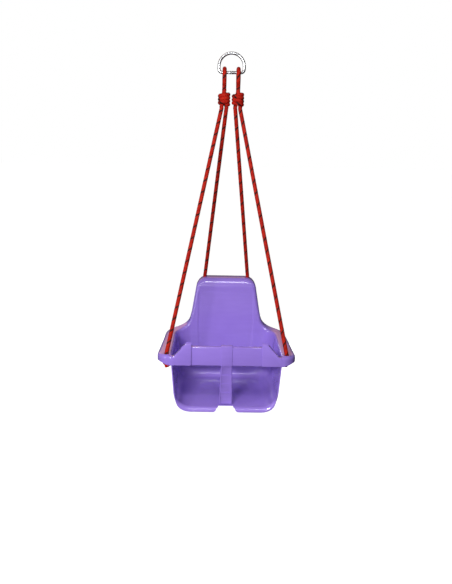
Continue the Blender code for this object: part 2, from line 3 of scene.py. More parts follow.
import bmesh
import bpy
from mathutils import Euler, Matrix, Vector


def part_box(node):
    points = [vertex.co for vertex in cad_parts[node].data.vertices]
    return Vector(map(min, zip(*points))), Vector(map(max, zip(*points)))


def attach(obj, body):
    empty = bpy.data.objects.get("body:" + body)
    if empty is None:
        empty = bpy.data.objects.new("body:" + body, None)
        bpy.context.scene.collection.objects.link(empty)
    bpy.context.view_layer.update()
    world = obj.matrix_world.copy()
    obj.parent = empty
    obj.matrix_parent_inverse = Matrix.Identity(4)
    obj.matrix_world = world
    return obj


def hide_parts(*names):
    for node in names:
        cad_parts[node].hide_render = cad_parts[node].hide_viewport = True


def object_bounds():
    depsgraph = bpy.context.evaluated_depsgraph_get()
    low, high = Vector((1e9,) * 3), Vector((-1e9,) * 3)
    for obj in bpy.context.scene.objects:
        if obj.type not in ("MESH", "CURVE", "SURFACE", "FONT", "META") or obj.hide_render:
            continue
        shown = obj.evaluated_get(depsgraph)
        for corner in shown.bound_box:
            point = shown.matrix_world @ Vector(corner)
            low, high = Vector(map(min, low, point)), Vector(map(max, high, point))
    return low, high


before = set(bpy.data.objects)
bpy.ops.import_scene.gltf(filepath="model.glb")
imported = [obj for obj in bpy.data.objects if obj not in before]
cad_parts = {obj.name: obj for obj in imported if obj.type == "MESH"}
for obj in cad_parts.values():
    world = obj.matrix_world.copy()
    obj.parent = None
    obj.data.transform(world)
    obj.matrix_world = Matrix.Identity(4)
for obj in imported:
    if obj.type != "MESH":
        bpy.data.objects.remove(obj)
cadLow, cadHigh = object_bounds()
print("frame loaded:", len(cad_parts), "nodes")


def lerp(a, b, t):
    return a + (b - a) * t


def ease(lo, hi, value):
    t = min(max((value - lo) / (hi - lo), 0.0), 1.0)
    return t * t * (3 - 2 * t)


# Node trees: sums are written as Python expressions on wires

class Wire:
    def __init__(self, graph, socket):
        self.graph = graph
        self.socket = socket

    def math(self, operation, first, second=None):
        values = {0: first} if second is None else {0: first, 1: second}
        return self.graph.add("ShaderNodeMath", {"operation": operation}, values)[0]

    def __add__(self, other):
        return self.math("ADD", self, other)

    def __radd__(self, other):
        return self.math("ADD", other, self)

    def __sub__(self, other):
        return self.math("SUBTRACT", self, other)

    def __rsub__(self, other):
        return self.math("SUBTRACT", other, self)

    def __mul__(self, other):
        return self.math("MULTIPLY", self, other)

    def __rmul__(self, other):
        return self.math("MULTIPLY", other, self)

    def __truediv__(self, other):
        return self.math("DIVIDE", self, other)

    def __rtruediv__(self, other):
        return self.math("DIVIDE", other, self)

    def __pow__(self, other):
        return self.math("POWER", self, other)

    def does(self, operation, other=None):
        return self.math(operation, self, other)


class Graph:
    def __init__(self, tree):
        self.tree = tree

    def add(self, kind, settings=None, values=None):
        node = self.tree.nodes.new(kind)
        for name, value in (settings or {}).items():
            if name == "stops":
                self.setStops(node.color_ramp, value)
            else:
                setattr(node, name, value)
        for name, value in (values or {}).items():
            if isinstance(value, Wire):
                self.tree.links.new(value.socket, node.inputs[name])
            else:
                node.inputs[name].default_value = value
        return Outputs(self, node)

    def setStops(self, ramp, stops):
        while len(ramp.elements) < len(stops):
            ramp.elements.new(0.5)
        for element, (place, color) in zip(ramp.elements, stops):
            element.position = place
            element.color = (*color, 1)


class Outputs:
    def __init__(self, graph, node):
        self.graph = graph
        self.node = node

    def __getitem__(self, key):
        return Wire(self.graph, self.node.outputs[key])


# Where the seat hangs: x, y and z of the seat count from the rim's front face and top

hanging = {"ringWire": 0.008, "backTop": 0.157}
shellLow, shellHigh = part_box("seat_shell")
ringLow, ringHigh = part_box("hanging_ring")
barAxis = Vector((0, 0, ringLow[2] + hanging["ringWire"] / 2))


def seatPoint(x, y, z):
    return Vector((x, shellLow[1] + y, shellHigh[2] - hanging["backTop"] + z))


# Camera, floor and light

view = {"place": (-0.0389, -1.794, 0.5666), "pitch": 12.20, "yaw": -1.06, "roll": 1.19, "lens": 42.98}


def makeCamera():
    data = bpy.data.cameras.new("camera")
    data.lens = view["lens"]
    camera = bpy.data.objects.new("camera", data)
    camera.location = seatPoint(*view["place"])
    turn = Euler((radians(90 - view["pitch"]), 0, radians(view["yaw"]))).to_matrix()
    roll = Euler((0, 0, radians(view["roll"]))).to_matrix()
    camera.rotation_euler = (turn @ roll).to_euler()
    bpy.context.scene.collection.objects.link(camera)
    bpy.context.scene.camera = camera


studio = {
    "floorDrop": 0.42, "floorSize": 60.0, "background": 1.0, "sky": 0.22, "dark": 0.02,
    "fromLeft": 0.44, "fromFront": 0.16, "fromAbove": 0.50,
    "glow": 3.3, "glowTint": (1, 0.50, 0.32, 1), "glowFoot": 0.215, "glowRise": 0.075,
    "glowDepth": 0.55, "glowEven": 0.80, "glowLeft": 1.6,
}
# each lamp: its place, what it points at, its width and height, its power in watts
lamps = {
    "keyLight": ((-0.62, -1.95, 0.74), (0, 0.1, -0.02), (0.55, 0.12), 39),
    "stripLight": ((-0.15, -1.25, 1.45), (0, 0.2, 0), (1.1, 0.11), 7),
    "rearLight": ((0.3, 2.2, -0.34), (0, 0.28, 0), (1.6, 0.34), 24),
    "sideLight": ((-1.7, -0.9, 0.50), (0, 0.1, 0.05), (0.4, 0.9), 5),
}


def addLight(name, place, target, size, power):
    data = bpy.data.lights.new(name, "AREA")
    data.shape = "RECTANGLE"
    data.size, data.size_y = size
    data.energy = power
    lamp = bpy.data.objects.new(name, data)
    lamp.location = seatPoint(*place)
    lamp.rotation_euler = (seatPoint(*target) - lamp.location).to_track_quat("-Z", "Y").to_euler()
    bpy.context.scene.collection.objects.link(lamp)
    return lamp


def makeStudio():
    bpy.context.scene.view_settings.view_transform = "Standard"
    world = bpy.data.worlds.new("studio")
    bpy.context.scene.world = world
    world.use_nodes = True
    graph = Graph(world.node_tree)
    world.node_tree.nodes.clear()
    way = graph.add("ShaderNodeTexCoord")["Generated"]
    parts = graph.add("ShaderNodeSeparateXYZ", values={0: way})
    level = 0.5 - parts["X"] * studio["fromLeft"] - parts["Y"] * studio["fromFront"]
    lit = level + parts["Z"] * studio["fromAbove"]
    strength = lit.does("MAXIMUM", 0.0) * (studio["sky"] - studio["dark"]) + studio["dark"]
    # a warm glow behind the seat, above its back and stronger on the left
    rise = (parts["Z"] - studio["glowFoot"]) / studio["glowRise"]
    above = rise.does("MAXIMUM", 0.0).does("MINIMUM", 1.0)
    leftward = (studio["glowEven"] - parts["X"] * studio["glowLeft"]).does("MAXIMUM", 0.0)
    behind = (parts["Y"] - studio["glowDepth"]).does("MAXIMUM", 0.0) * above * leftward * studio["glow"]
    share = (behind * 2).does("MINIMUM", 1.0)
    tint = graph.add("ShaderNodeMix", {"data_type": "RGBA"},
                     {"Factor": share, 6: (1, 1, 1, 1), 7: studio["glowTint"]})[2]
    seen = graph.add("ShaderNodeBackground", values={"Color": (1, 1, 1, 1),
                                                     "Strength": studio["background"]})
    around = graph.add("ShaderNodeBackground", values={"Color": tint, "Strength": strength + behind})
    direct = graph.add("ShaderNodeLightPath")["Is Camera Ray"]
    both = graph.add("ShaderNodeMixShader", values={0: direct, 1: around[0], 2: seen[0]})
    graph.add("ShaderNodeOutputWorld", values={0: both[0]})

    size = studio["floorSize"] / 2
    mesh = bpy.data.meshes.new("floor")
    corners = [(-size, -size, 0), (size, -size, 0), (size, size, 0), (-size, size, 0)]
    drop = Vector((0, 0, cadLow[2] - studio["floorDrop"]))
    mesh.from_pydata([Vector(c) + drop for c in corners], [], [(0, 1, 2, 3)])
    floor = bpy.data.objects.new("floor", mesh)
    bpy.context.scene.collection.objects.link(floor)
    paint = bpy.data.materials.new("floorPaint")
    paint.use_nodes = True
    shader = paint.node_tree.nodes["Principled BSDF"]
    shader.inputs["Base Color"].default_value = (0.30, 0.30, 0.30, 1)
    shader.inputs["Roughness"].default_value = 0.9
    shader.inputs["Emission Color"].default_value = (1, 1, 1, 1)
    shader.inputs["Emission Strength"].default_value = 0.93
    mesh.materials.append(paint)
    floor.visible_diffuse = False
    floor.visible_glossy = False

    for name, values in lamps.items():
        lamp = addLight(name, *values)
        # the rear lamp only fills, so that the rim's top keeps no sheen of it
        lamp.visible_glossy = name != "rearLight"


makeCamera()
makeStudio()
print("camera and studio made")


# Meshes

def link(name, mesh):
    piece = bpy.data.objects.new(name, mesh)
    bpy.context.scene.collection.objects.link(piece)
    return piece


def settled(piece, name=None):
    # the piece as its modifiers leave it, as a plain mesh
    graph = bpy.context.evaluated_depsgraph_get()
    mesh = bpy.data.meshes.new_from_object(piece.evaluated_get(graph))
    mesh.name = name or piece.name
    return mesh


def settle(piece):
    mesh = settled(piece)
    piece.modifiers.clear()
    old = piece.data
    piece.data = mesh
    bpy.data.meshes.remove(old)
    return piece


def cut(piece, other, operation):
    mod = piece.modifiers.new("cut", "BOOLEAN")
    mod.operation = operation
    mod.object = other
    mod.solver = "EXACT"
    settle(piece)
    mesh = other.data
    bpy.data.objects.remove(other, do_unlink=True)
    bpy.data.meshes.remove(mesh)


def bevel(piece, width, segments, angle=40):
    mod = piece.modifiers.new("edges", "BEVEL")
    mod.width = width
    mod.segments = segments
    mod.limit_method = "ANGLE"
    mod.angle_limit = radians(angle)
    mod.use_clamp_overlap = True


def rounded(outline):
    # outline points are (x, z) or (x, z, radius); a radius rounds that corner
    points = []
    count = len(outline)
    for i, corner in enumerate(outline):
        here = Vector(corner[:2])
        if len(corner) < 3:
            points.append(here)
            continue
        before = (here - Vector(outline[i - 1][:2])).normalized()
        after = (Vector(outline[(i + 1) % count][:2]) - here).normalized()
        turn = atan2(before.cross(after), before.dot(after))
        reach = corner[2] * tan(abs(turn) / 2)
        side = Vector((-before.y, before.x)) * (1 if turn > 0 else -1)
        centre = here - before * reach + side * corner[2]
        steps = max(2, round(abs(turn) / radians(15)))
        for k in range(steps + 1):
            a = turn * k / steps
            spoke = -side * corner[2]
            points.append(centre + Vector((spoke.x * cos(a) - spoke.y * sin(a),
                                           spoke.x * sin(a) + spoke.y * cos(a))))
    return points


def slab(name, outline, front, back, lean=None, edge=0.0, segments=3):
    # an outline in x and z, solid from front to back, leaning back below a height
    bm = bmesh.new()
    points = rounded(outline)
    rows = []
    for y in (front, back):
        row = []
        for x, z in points:
            extra = max(lean[0] - z, 0) * lean[1] if lean else 0
            row.append(bm.verts.new(seatPoint(x, y + extra, z)))
        rows.append(row)
    count = len(points)
    bm.faces.new(rows[0])
    bm.faces.new(rows[1][::-1])
    for i in range(count):
        j = (i + 1) % count
        bm.faces.new((rows[0][j], rows[0][i], rows[1][i], rows[1][j]))
    bmesh.ops.recalc_face_normals(bm, faces=bm.faces)
    mesh = bpy.data.meshes.new(name)
    bm.to_mesh(mesh)
    bm.free()
    piece = link(name, mesh)
    if edge:
        bevel(piece, edge, segments)
        settle(piece)
    return piece


def box(name, low, high, edge=0.0):
    outline = [(low[0], low[2]), (high[0], low[2]), (high[0], high[2]), (low[0], high[2])]
    return slab(name, outline, low[1], high[1], edge=edge, segments=2)


def turned(name, profile, centre, steps=32):
    # profile is (radius, height) from the bottom up
    bm = bmesh.new()
    rings = []
    for radius, height in profile:
        if radius < 1e-6:
            rings.append([bm.verts.new(centre + Vector((0, 0, height)))])
            continue
        ring = []
        for k in range(steps):
            a = 2 * pi * k / steps
            ring.append(bm.verts.new(centre + Vector((radius * cos(a), radius * sin(a), height))))
        rings.append(ring)
    for low, high in zip(rings, rings[1:]):
        for k in range(steps):
            j = (k + 1) % steps
            if len(low) == 1:
                bm.faces.new((low[0], high[k], high[j]))
            elif len(high) == 1:
                bm.faces.new((low[j], low[k], high[0]))
            else:
                bm.faces.new((low[k], low[j], high[j], high[k]))
    bmesh.ops.recalc_face_normals(bm, faces=bm.faces)
    mesh = bpy.data.meshes.new(name)
    bm.to_mesh(mesh)
    bm.free()
    return link(name, mesh)


def finishMesh(piece, material, angle=32):
    bm = bmesh.new()
    bm.from_mesh(piece.data)
    bmesh.ops.remove_doubles(bm, verts=bm.verts, dist=2e-6)
    bmesh.ops.dissolve_degenerate(bm, edges=bm.edges, dist=2e-6)
    bm.to_mesh(piece.data)
    bm.free()
    piece.data.materials.clear()
    piece.data.materials.append(material)
    piece.data.shade_smooth()
    piece.data.set_sharp_from_angle(angle=radians(angle))


# Moulded plastic

plastic = {"lit": (0.320, 0.205, 0.72), "deep": (0.280, 0.174, 0.655), "roughness": 0.17,
           "coat": 0.6}


def mouldedPlastic(name):
    material = bpy.data.materials.new(name)
    material.use_nodes = True
    graph = Graph(material.node_tree)
    shader = material.node_tree.nodes["Principled BSDF"]
    place = graph.add("ShaderNodeTexCoord")["Object"]

    def noise(scale, detail, stretch=(1, 1, 1)):
        mapped = graph.add("ShaderNodeMapping", values={"Vector": place, "Scale": stretch})
        speckle = graph.add("ShaderNodeTexNoise", values={"Vector": mapped[0], "Scale": scale,
                                                          "Detail": detail})
        return speckle["Fac"]

    cloud = noise(9, 3)
    streak = noise(14, 2, (1, 1, 9))
    blend = cloud * 0.65 + streak * 0.35
    stops = [(0.30, plastic["deep"]), (0.70, plastic["lit"])]
    color = graph.add("ShaderNodeValToRGB", {"stops": stops}, {0: blend})["Color"]
    scuffs = (noise(60, 5, (1, 0.15, 1)) - 0.60).does("MAXIMUM", 0) * 2.0
    rough = plastic["roughness"] + cloud * 0.05 + scuffs * 0.20
    skin = noise(420, 2)
    wave = noise(18, 1) * 0.5 + noise(10, 2, (0.35, 1, 5)) * 0.5
    low = graph.add("ShaderNodeBump", values={"Strength": 0.05, "Distance": 0.002, "Height": wave})
    fine = graph.add("ShaderNodeBump", values={"Strength": 0.05, "Distance": 0.0003, "Height": skin,
                                               "Normal": low[0]})
    links = {"Base Color": color, "Roughness": rough, "Normal": fine[0]}
    for socket, wire in links.items():
        material.node_tree.links.new(wire.socket, shader.inputs[socket])
    shader.inputs["IOR"].default_value = 1.5
    shader.inputs["Coat Weight"].default_value = plastic["coat"]
    shader.inputs["Coat Roughness"].default_value = 0.06
    return material


shellPlastic = mouldedPlastic("shellPlastic")
guardPlastic = mouldedPlastic("guardPlastic")


# Seat shell: a sheet bent round the seat. u runs along the wall from the middle of the
# back, round the corner and along the side; z is the height above the rim.

shell = {
    "wall": 0.003, "tubHalf": 0.1492, "tubBack": 0.282, "tubFront": 0.016, "tubCorner": 0.045,
    "draft": 0.085, "pan": -0.147, "panFilletBack": 0.018, "panFilletSide": 0.040,
    "noseReach": 0.011, "noseDrop": 0.013, "backTop": 0.157, "backTopHalf": 0.087,
    "backFootHalf": 0.113, "backTopRadius": 0.033, "shoulderRadius": 0.040,
    "rimFrontHalf": 0.189, "rimBackHalf": 0.179, "rimCorner": 0.042, "skirt": 0.027, "sideSkirt": 0.0195,
    "edgeRound": 0.008, "crest": 0.007, "crestBack": 0.003,
    "facetFoot": 0.1365, "facetLean": 0.385, "facetBlend": 0.003,
    "backFlange": 0.0355, "topFlange": 0.050, "backLip": 0.009, "frontTurn": 0.026, "fanEnd": 0.085,
    "lipEdge": 0.0011, "panelHalf": 0.084, "panelTop": 0.125, "panelFoot": -0.122,
    "panelCorner": 0.022, "panelDepth": 0.0012, "panelEdge": 0.0035,
}
backFlat = shell["tubHalf"] - shell["tubCorner"]
cornerEnd = backFlat + shell["tubCorner"] * pi / 2
sideStart = shell["tubBack"] - shell["tubCorner"]


def panelSink(u, z):
    # the shallow panel in the middle of the back
    high = shell["panelTop"]
    low = shell["panelFoot"]
    r = shell["panelCorner"]
    dx = u - shell["panelHalf"] + r
    dz = abs(z - (high + low) / 2) - (high - low) / 2 + r
    outside = Vector((max(dx, 0), max(dz, 0))).length + min(max(dx, dz), 0) - r
    return shell["panelDepth"] * ease(-shell["panelEdge"], shell["panelEdge"], -outside)


def facetSink(z):
    # the top strip of the back leans away more than the rest
    blend = shell["facetBlend"]
    above = z - shell["facetFoot"]
    if above < -blend:
        return 0
    return shell["facetLean"] * (above if above > blend else (above + blend) ** 2 / (4 * blend))


def wallPoint(u, z):
    # inside face of the wall, and the way out of the seat there
    centreX = backFlat + shell["draft"] * min(z, 0)
    centreY = sideStart + shell["draft"] * z
    corner = shell["tubCorner"]
    if u < backFlat:
        x = u * centreX / backFlat
        sink = panelSink(u, z) + facetSink(z)
        return Vector((x, centreY + corner + sink, z)), Vector((0, 1, 0))
    if u < cornerEnd:
        angle = (u - backFlat) / corner
        out = Vector((sin(angle), cos(angle), 0))
        return Vector((centreX, centreY, z)) + out * corner, out
    along = (u - cornerEnd) / (sideStart - shell["tubFront"])
    return Vector((centreX + corner, lerp(centreY, shell["tubFront"], along), z)), Vector((1, 0, 0))


def panFillet(u):
    return lerp(shell["panFilletBack"], shell["panFilletSide"], ease(backFlat - 0.03, cornerEnd, u))


def rimHalf(y):
    along = (y - shell["rimCorner"]) / (shell["tubBack"] - shell["rimCorner"])
    return lerp(shell["rimFrontHalf"], shell["rimBackHalf"], along)


def flange(u, point, z, frontTurn):
    # the way and the width of the flange that leaves the wall's top edge
    out = wallPoint(u, 0)[1]
    corner = shell["rimCorner"]
    if frontTurn is not None:
        angle = frontTurn * pi / 2
        end = Vector((rimHalf(corner) - corner + corner * cos(angle), corner * (1 - sin(angle)), 0))
        reach = end - Vector((point.x, point.y, 0))
        return reach.normalized(), reach.length
    if u >= cornerEnd:
        if point.y >= shell["fanEnd"]:
            return out, rimHalf(point.y) - point.x
        along = (point.y - shell["frontTurn"]) / (shell["fanEnd"] - shell["frontTurn"])
        endY = point.y + (corner - shell["frontTurn"]) * (1 - along) ** 2
        reach = Vector((rimHalf(endY), endY, 0)) - Vector((point.x, point.y, 0))
        return reach.normalized(), reach.length
    side = rimHalf(sideStart) - shell["tubHalf"]
    if u > backFlat:
        angle = (u - backFlat) / shell["tubCorner"]
        return out, side / (cos(angle) ** 6 + sin(angle) ** 6) ** (1 / 6)
    low = lerp(side, shell["backFlange"], ease(0, 0.05, z))
    return out, lerp(low, shell["topFlange"], ease(0.120, 0.156, z))


def edgePath():
    # the line where the wall meets the flange, from the middle of the back to the corner
    corners = [(0, shell["backTop"], 0), (shell["backTopHalf"], shell["backTop"], shell["backTopRadius"]),
               (shell["backFootHalf"], 0, shell["shoulderRadius"]), (cornerEnd, 0, 0)]
    steps = [(12, 12), (26, 16), (8, 0)]
    path = []
    start = Vector(corners[0][:2])
    for i, (runSteps, arcSteps) in enumerate(steps):
        here = Vector(corners[i + 1][:2])
        before = (here - start).normalized()
        radius = corners[i + 1][2]
        if not arcSteps:
            path += [(start.lerp(here, k / runSteps), before) for k in range(runSteps + 1)]
            break
        after = (Vector(corners[i + 2][:2]) - here).normalized()
        turn = atan2(before.cross(after), before.dot(after))
        arcStart = here - before * radius * tan(abs(turn) / 2)
        path += [(start.lerp(arcStart, k / runSteps), before) for k in range(runSteps)]
        side = Vector((-before.y, before.x)) * (1 if turn > 0 else -1)
        for k in range(arcSteps):
            a = turn * k / arcSteps
            spoke = Vector((-side.x * cos(a) + side.y * sin(a), -side.x * sin(a) - side.y * cos(a)))
            heading = Vector((before.x * cos(a) - before.y * sin(a), before.x * sin(a) + before.y * cos(a)))
            path.append((arcStart + side * radius + spoke * radius, heading))
        start = here + after * radius * tan(abs(turn) / 2)
    return path


rows = {"fillet": 8, "wall": 40, "crest": 8, "flange": 4, "edge": 5, "skirt": 5}


def shellColumn(edge, heading, footU, frontTurn=None):
    u, z = edge
    up = Vector((-heading.y, heading.x))
    fillet = panFillet(footU)
    column = []
    for k in range(rows["fillet"]):
        angle = pi / 2 * (1 - k / rows["fillet"])
        point, out = wallPoint(footU, shell["pan"] + fillet * (1 - sin(angle)))
        column.append(point - out * fillet * (1 - cos(angle)))
    roll = shell["crest"] + shell["crestBack"] * ease(0.03, 0.07, z)
    start = Vector((footU, shell["pan"] + fillet))
    end = edge - up * roll
    for k in range(rows["wall"]):
        column.append(wallPoint(*start.lerp(end, k / rows["wall"]))[0])
    lip = shell["sideSkirt"]
    if frontTurn is not None:
        lip = lerp(lip, shell["skirt"], ease(0.3, 1.0, frontTurn))
    elif u < cornerEnd + 0.02:
        lip = lerp(shell["backLip"], lip, ease(backFlat + 0.01, cornerEnd + 0.02, u))
    out, width = flange(u, wallPoint(u, z)[0], z, frontTurn)

    def surface(back, outward):
        return wallPoint(u - up.x * back, z - up.y * back)[0] + out * outward

    for k in range(rows["crest"] + 1):
        angle = pi / 2 * k / rows["crest"]
        column.append(surface(roll * (1 - sin(angle)), roll * (1 - cos(angle))))
    rounding = shell["edgeRound"]
    for k in range(1, rows["flange"]):
        column.append(surface(0, lerp(roll, width - rounding, k / rows["flange"])))
    for k in range(rows["edge"] + 1):
        angle = pi / 2 * k / rows["edge"]
        point = surface(0, width - rounding * (1 - sin(angle)))
        column.append(point - Vector((0, 0, rounding * (1 - cos(angle)))))
    for k in range(1, rows["skirt"] + 1):
        column.append(surface(0, width) - Vector((0, 0, lerp(rounding, lip, k / rows["skirt"]))))
    return column


def shellColumns():
    path = edgePath()
    ends = []
    for edge, heading in path:
        roll = shell["crest"] + shell["crestBack"] * ease(0.03, 0.07, edge.y)
        ends.append(edge.x + heading.y * roll)
    # feet stand under the strips' ends up the back, then spread to meet the rim
    lastRound = len(path) - 9
    sideFrom = 24
    footFrom, footTo = ends[sideFrom], path[lastRound][0].x
    columns = []
    for i, (edge, heading) in enumerate(path):
        if i >= lastRound:
            foot = edge.x
        elif i > sideFrom:
            share = (i - sideFrom) / (lastRound - sideFrom)
            foot = lerp(footFrom, footTo, share)
        else:
            foot = ends[i] if i < sideFrom else footFrom
        columns.append(shellColumn(edge, heading, foot))
    forward = Vector((1, 0))
    sideSteps, turnSteps = 32, 14
    for i in range(1, sideSteps + 1):
        u = cornerEnd + (sideStart - shell["frontTurn"]) * i / sideSteps
        columns.append(shellColumn(Vector((u, 0)), forward, u))
    for i in range(1, turnSteps + 1):
        u = cornerEnd + sideStart - lerp(shell["frontTurn"], shell["tubFront"], i / turnSteps)
        columns.append(shellColumn(Vector((u, 0)), forward, u, i / turnSteps))
    return columns


def shellHalf():
    columns = shellColumns()
    bm = bmesh.new()
    grid = [[bm.verts.new(seatPoint(*p)) for p in column] for column in columns]
    for left, right in zip(grid, grid[1:]):
        for k in range(len(left) - 1):
            bm.faces.new((left[k], left[k + 1], right[k + 1], right[k]))
    frontSteps = 12
    frontX = columns[-1][0].x
    frontRow = [bm.verts.new(seatPoint(frontX * (1 - k / frontSteps), shell["tubFront"], shell["pan"]))
                for k in range(1, frontSteps + 1)]
    pan = bm.faces.new([column[0] for column in grid] + frontRow)

    # the nose: the pan's and walls' front edge, rolled down and outwards
    section = frontRow[::-1] + grid[-1][:rows["fillet"] + rows["wall"] + 1]
    noseSteps = 9
    lines = [section]
    for k in range(1, noseSteps + 1):
        angle = pi / 2 * k / noseSteps
        line = []
        for i, vert in enumerate(section):
            before = section[max(i - 1, 0)].co
            after = section[min(i + 1, len(section) - 1)].co
            run = (after - before).normalized()
            down = ease(0.25, 0.95, run.x) * shell["noseDrop"] * (1 - cos(angle))
            shift = Vector((run.z, -shell["noseReach"] * sin(angle) / max(down, 1e-9), -run.x)) * down
            if down < 1e-9:
                shift = Vector((0, -shell["noseReach"] * sin(angle), 0))
            line.append(bm.verts.new(vert.co + shift))
        lines.append(line)
    for near, far in zip(lines, lines[1:]):
        for k in range(len(near) - 1):
            bm.faces.new((near[k], near[k + 1], far[k + 1], far[k]))
    bmesh.ops.recalc_face_normals(bm, faces=bm.faces)
    if pan.normal.z < 0:
        bmesh.ops.reverse_faces(bm, faces=bm.faces)
    mesh = bpy.data.meshes.new("seatShell")
    bm.to_mesh(mesh)
    bm.free()
    return mesh


stubs = {
    "inner": 0.095, "top": 0.035, "topOuter": 0.110, "footOuter": 0.142, "depth": 0.0183,
    "end": 0.1495, "recess": 0.003, "barDepth": 0.012, "tongue": 0.018, "gap": 0.0003,
    "edge": 0.0018,
}
holes = {
    "front": (0.163, 0.021), "rear": (0.066, 0.331), "width": 0.0135, "flare": 0.0014,
    "bossWidth": 0.023, "bossHeight": 0.0011,
    "slotFront": 0.0310, "slotBack": 0.0356, "slotHalf": 0.0140,
    "notchTop": 0.0165, "notchFoot": 0.0255, "notchDepth": 0.027, "notchRound": (0.013, 0.010),
}


def mirrored(outline):
    return [(-p[0], *p[1:]) for p in reversed(outline)]


def addStubs(piece):
    rim = -shell["wall"] / 2
    low = -shell["skirt"] + 0.0001
    outline = [(stubs["inner"], low), (stubs["end"], low), (stubs["end"], rim), (stubs["footOuter"], rim),
               (stubs["topOuter"], stubs["top"], 0.004), (stubs["inner"], stubs["top"])]
    for shape in (outline, mirrored(outline)):
        cut(piece, slab("stub", shape, 0, stubs["depth"], edge=stubs["edge"]), "UNION")


def hollowStubs(piece):
    wall = shell["wall"]
    gap = stubs["gap"]
    socketEnd = stubs["inner"] + stubs["tongue"] + 2 * gap
    wallEnd = socketEnd + wall
    floor = -shell["skirt"] - 0.01
    high = stubs["top"] - wall
    core = [(wallEnd, floor), (stubs["end"] - wall, floor), (stubs["end"] - wall, -1.5 * wall),
            (stubs["footOuter"] - wall / 2, -1.5 * wall), (wallEnd + 0.002, high * 0.86),
            (wallEnd, high * 0.86)]
    for sign in (1, -1):
        lowX, highX = sorted((sign * (stubs["inner"] - 0.004), sign * socketEnd))
        cut(piece, box("socket", (lowX, stubs["recess"] - gap, wall - shell["skirt"]),
                       (highX, stubs["recess"] + stubs["barDepth"] + gap, stubs["top"] + 0.01),
                       edge=0.0005), "DIFFERENCE")
        shape = core if sign > 0 else mirrored(core)
        cut(piece, slab("core", shape, wall, stubs["depth"] - wall, edge=0.001, segments=2), "DIFFERENCE")


def boreRopeHoles(piece):
    half = holes["width"] / 2
    flare = holes["flare"]
    for (x, y), level in ((holes["front"], 0), (holes["rear"], shell["backTop"])):
        # only the front holes have a low boss round them
        raised = 0 if level else holes["bossHeight"]
        top = level + raised
        under = level - shell["wall"]
        outer = holes["bossWidth"] / 2
        for sign in (1, -1):
            centre = seatPoint(sign * x, y, 0)
            if raised:
                boss = [(0, under + 0.001), (outer + 0.0012, under + 0.001),
                        (outer + 0.0012, level + 0.0001), (outer, top - 0.0003),
                        (outer - 0.0005, top), (0, top)]
                cut(piece, turned("boss", boss, centre), "UNION")
            bore = [(0, under - 0.004), (half + flare, under - 0.004)]
            for k in range(6):
                a = pi / 2 * k / 5
                bore.append((half + flare * (1 - sin(a)), under + flare * (1 - cos(a))))
            for k in range(6):
                a = pi / 2 * k / 5
                bore.append((half + flare * (1 - cos(a)), top - flare * (1 - sin(a))))
            bore += [(half + flare, top + 0.004), (0, top + 0.004)]
            cut(piece, turned("bore", bore, centre), "DIFFERENCE")


def cutFoot(piece):
    pan = shell["pan"]
    half = holes["slotHalf"]
    cut(piece, box("slot", (-half, holes["slotFront"], pan - 0.01), (half, holes["slotBack"], pan + 0.01),
                   edge=0.0008), "DIFFERENCE")
    foot, top = holes["notchFoot"], holes["notchTop"]
    (roundX, roundZ), low = holes["notchRound"], pan - shell["noseDrop"] - 0.0006
    outline = [(foot + roundX, low - 0.004)]
    for k in range(7):
        a = pi / 2 * k / 6
        outline.append((foot + roundX * (1 - sin(a)), low + roundZ * (1 - cos(a))))
    outline += [(top + 0.003, pan - 0.0005, 0.012), (top, pan + 0.008)]
    outline = outline + mirrored(outline)
    cut(piece, slab("notch", outline, -0.005, holes["notchDepth"]), "DIFFERENCE")


def makeShell():
    piece = link("seatShell", shellHalf())
    mirror = piece.modifiers.new("mirror", "MIRROR")
    mirror.merge_threshold = 0.0001
    thick = piece.modifiers.new("thickness", "SOLIDIFY")
    thick.thickness = shell["wall"]
    thick.offset = -1
    thick.use_even_offset = True
    settle(piece)
    bevel(piece, shell["lipEdge"], 3, 50)
    settle(piece)
    addStubs(piece)
    hollowStubs(piece)
    boreRopeHoles(piece)
    cutFoot(piece)
    finishMesh(piece, shellPlastic)
    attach(piece, "seat")
    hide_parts("seat_shell")
    return piece


makeShell()
print("seat shell made")


# Front guard

guard = {
    "top": 0.026, "recess": 0.003, "depth": 0.012, "wall": 0.0028, "edge": 0.0028,
    "strapHalf": 0.0158, "strapProud": 0.0012, "strapRise": 0.0035,
    "postTop": 0.0150, "postFoot": 0.0187, "lean": 0.194, "rib": 0.0022,
    "barCells": 6, "postCells": 4, "footInset": 0.005, "footDrop": 0.0028, "solidFoot": 0.010,
    "postRim": 0.0032, "postDish": 0.0024,
}


def makeTree(name, sockets):
    tree = bpy.data.node_groups.new(name, "GeometryNodeTree")
    tree.interface.new_socket("Geometry", in_out="OUTPUT", socket_type="NodeSocketGeometry")
    ids = {}
    for label, kind in sockets.items():
        made = tree.interface.new_socket(label, in_out="INPUT", socket_type="NodeSocket" + kind)
        ids[label] = made.identifier
    return tree, ids


def ribTree():
    # plates across a channel, one for each place on a line
    tree, ids = makeTree("crossRibs", {"Geometry": "Geometry", "Count": "Int", "First": "Vector",
                                       "Step": "Vector", "Size": "Vector", "Material": "Material"})
    graph = Graph(tree)
    given = graph.add("NodeGroupInput")
    line = graph.add("GeometryNodeMeshLine", values={"Count": given["Count"], "Offset": given["Step"],
                                                     "Start Location": given["First"]})
    plate = graph.add("GeometryNodeMeshCube", values={"Size": given["Size"]})
    placed = graph.add("GeometryNodeInstanceOnPoints", values={"Points": line[0], "Instance": plate[0]})
    real = graph.add("GeometryNodeRealizeInstances", values={0: placed[0]})
    painted = graph.add("GeometryNodeSetMaterial", values={"Geometry": real[0],
                                                           "Material": given["Material"]})
    graph.add("NodeGroupOutput", values={0: painted[0]})
    return tree, ids


